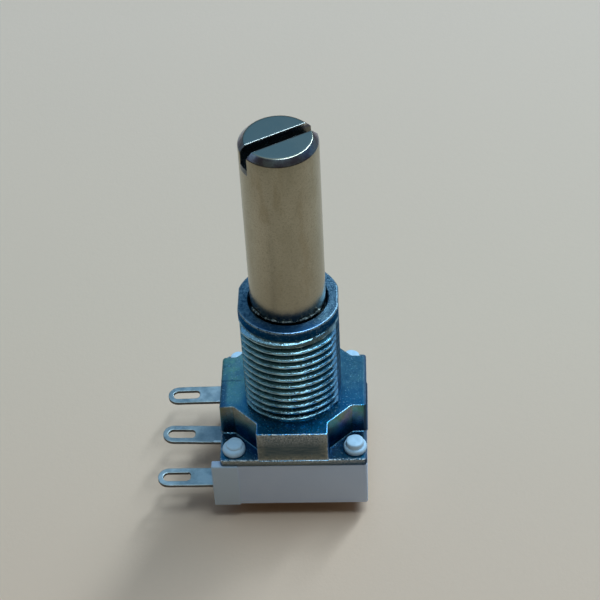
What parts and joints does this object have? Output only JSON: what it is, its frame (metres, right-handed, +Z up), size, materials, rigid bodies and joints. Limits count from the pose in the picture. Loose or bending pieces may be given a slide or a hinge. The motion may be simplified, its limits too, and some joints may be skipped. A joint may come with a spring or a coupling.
{
  "type": "rotary potentiometer",
  "caption": "Small square panel-mount rotary potentiometer with a threaded bushing, a slotted round shaft and a row of side solder lugs.",
  "frame": {"origin": "on the shaft axis, at the underside of the moulded base", "axes": "+Z up the shaft, away from the base; solder lugs towards -X"},
  "size_m": [0.0183, 0.0128, 0.0361],
  "materials": {
    "zinc_chromate": "die-cast zinc with a clear blue chromate, faintly iridescent",
    "moulded_resin": "white moulded thermoset, semi-matte",
    "shaft_plate": "satin bright nickel plate on turned brass",
    "tinned_brass": "tin-plated brass sheet",
    "rivet_brass": "plain brass",
    "laminate": "brown paper phenolic sheet",
    "carbon_track": "printed carbon film",
    "silver_ink": "printed silver, matte",
    "spring_steel": "hardened spring steel, oiled",
    "thrust_film": "polyester film",
    "spring_bronze": "phosphor bronze sheet",
    "rotor_resin": "ivory moulded resin"
  },
  "bodies": {
    "housing": {"front_housing": "zinc_chromate", "base": "moulded_resin", "terminal_lug_1": "tinned_brass", "terminal_lug_2": "tinned_brass", "terminal_lug_3": "tinned_brass", "terminal_rivets": "rivet_brass", "element_board": "laminate", "resistive_track": "carbon_track", "end_pads": "silver_ink", "collector_track": "silver_ink", "thrust_washer": "thrust_film"},
    "shaft": {"shaft": "shaft_plate", "retaining_ring": "spring_steel", "spring_washer": "spring_bronze", "rotor": "rotor_resin", "wiper_contact": "spring_bronze"}
  },
  "joints": [
    {"name": "shaft_turn", "type": "hinge", "parent": "housing", "child": "shaft", "pos_m": [0, 0, 0], "axis": [0, 0, 1], "range_deg": [-177, 118]}
  ]
}
